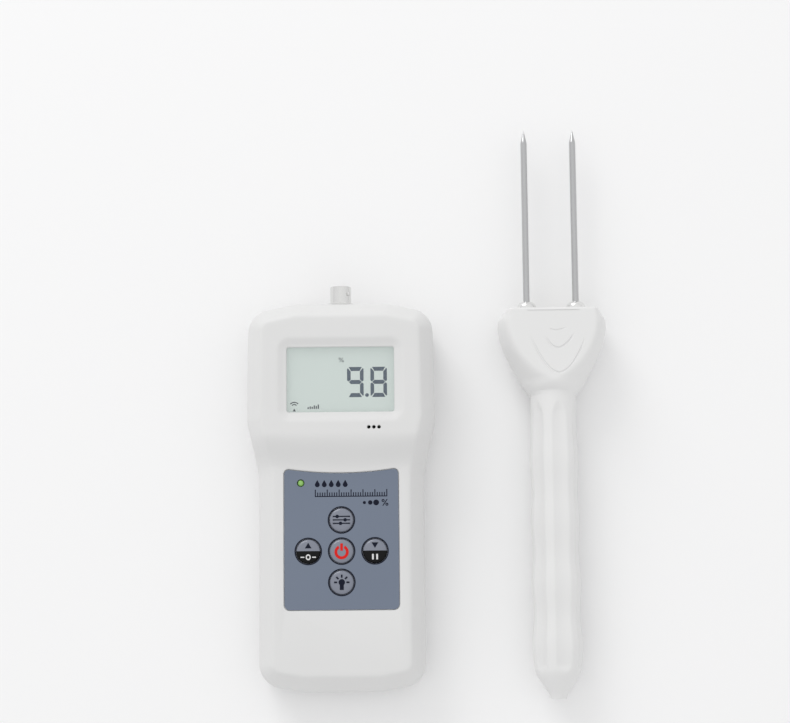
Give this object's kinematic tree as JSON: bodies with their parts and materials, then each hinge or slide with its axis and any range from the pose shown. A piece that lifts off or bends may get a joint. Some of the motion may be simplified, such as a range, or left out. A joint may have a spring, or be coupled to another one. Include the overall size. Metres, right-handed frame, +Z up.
{
  "type": "pin moisture meter",
  "caption": "Hand-held pin moisture meter with a display, a keypad, a coaxial socket and a separate fluted two-pin probe.",
  "frame": {"origin": "on the table, at the middle of the footprint of the meter and its probe together", "axes": "+Z up out of the display; +Y along the meter and the probe, towards the socket and the pins; +X across, towards the probe"},
  "size_m": [0.1656, 0.264, 0.034],
  "materials": {
    "casing": "fine satin texture",
    "clear_window": "clear and polished",
    "display_glass": "polished",
    "diffuser": "satin",
    "white_plastic": "satin",
    "black_plastic": "satin",
    "circuit_board": "solder mask",
    "green_lens": "polished",
    "label_film": "printed film",
    "key_cap": "printed film over a dome",
    "plated_metal": "bright nickel plate",
    "steel": "stainless, ground",
    "gold_contact": "gold plate",
    "cell": "foil-wrapped can",
    "red_lead": "soft insulation"
  },
  "bodies": {
    "meter": {"front_shell": "casing", "back_shell": "casing", "lcd_window": "clear_window", "lcd_glass": "display_glass", "lcd_backlight": "diffuser", "lcd_holder": "white_plastic", "contact_strip": "black_plastic", "main_board": "circuit_board", "status_led": "green_lens", "buzzer": "black_plastic", "microcontroller": "black_plastic", "keypad_label": "label_film", "bnc_body": "plated_metal", "bnc_insulator": "white_plastic", "bnc_contact": "gold_contact", "bnc_washer": "steel", "bnc_nut": "plated_metal", "signal_lead": "black_plastic", "contact_plate_lower": "steel", "contact_plate_upper": "steel", "switch_fun": "black_plastic", "switch_zero": "black_plastic", "switch_power": "black_plastic", "switch_hold": "black_plastic", "switch_light": "black_plastic", "battery_1": "cell", "contact_spring_1": "steel", "battery_2": "cell", "contact_spring_2": "steel", "battery_3": "cell", "contact_spring_3": "steel", "battery_4": "cell", "contact_spring_4": "steel", "case_screw_upper_left": "steel", "case_screw_upper_right": "steel", "case_screw_lower_left": "steel", "case_screw_lower_right": "steel"},
    "battery_door": {"battery_door": "casing"},
    "probe": {"probe_front_shell": "casing", "probe_back_shell": "casing", "electrode_block": "white_plastic", "probe_socket": "plated_metal", "probe_socket_contact": "gold_contact", "electrode_pin_left": "steel", "pin_collar_left": "plated_metal", "terminal_nut_left": "steel", "electrode_pin_right": "steel", "pin_collar_right": "plated_metal", "terminal_nut_right": "steel", "probe_lead_left": "black_plastic", "probe_lead_right": "red_lead", "probe_screw_head": "steel", "probe_screw_middle": "steel", "probe_screw_tail": "steel"},
    "key_fun": {"key_fun": "key_cap"},
    "key_zero": {"key_zero": "key_cap"},
    "key_power": {"key_power": "key_cap"},
    "key_hold": {"key_hold": "key_cap"},
    "key_light": {"key_light": "key_cap"}
  },
  "joints": [
    {"name": "press_fun", "type": "slide", "parent": "meter", "child": "key_fun", "axis": [0, 0, -1], "range_m": [0, 0.0005], "stiffness_N_per_m": 800},
    {"name": "press_zero", "type": "slide", "parent": "meter", "child": "key_zero", "axis": [0, 0, -1], "range_m": [0, 0.0005], "stiffness_N_per_m": 800},
    {"name": "press_power", "type": "slide", "parent": "meter", "child": "key_power", "axis": [0, 0, -1], "range_m": [0, 0.0005], "stiffness_N_per_m": 800},
    {"name": "press_hold", "type": "slide", "parent": "meter", "child": "key_hold", "axis": [0, 0, -1], "range_m": [0, 0.0005], "stiffness_N_per_m": 800},
    {"name": "press_light", "type": "slide", "parent": "meter", "child": "key_light", "axis": [0, 0, -1], "range_m": [0, 0.0005], "stiffness_N_per_m": 800},
    {"name": "battery_door_slide", "type": "slide", "parent": "meter", "child": "battery_door", "axis": [0, -1, 0], "range_m": [0, 0.058]},
    {"name": "probe_lift", "type": "slide", "parent": "meter", "child": "probe", "axis": [0, 0, 1], "range_m": [0, 0.06]}
  ]
}
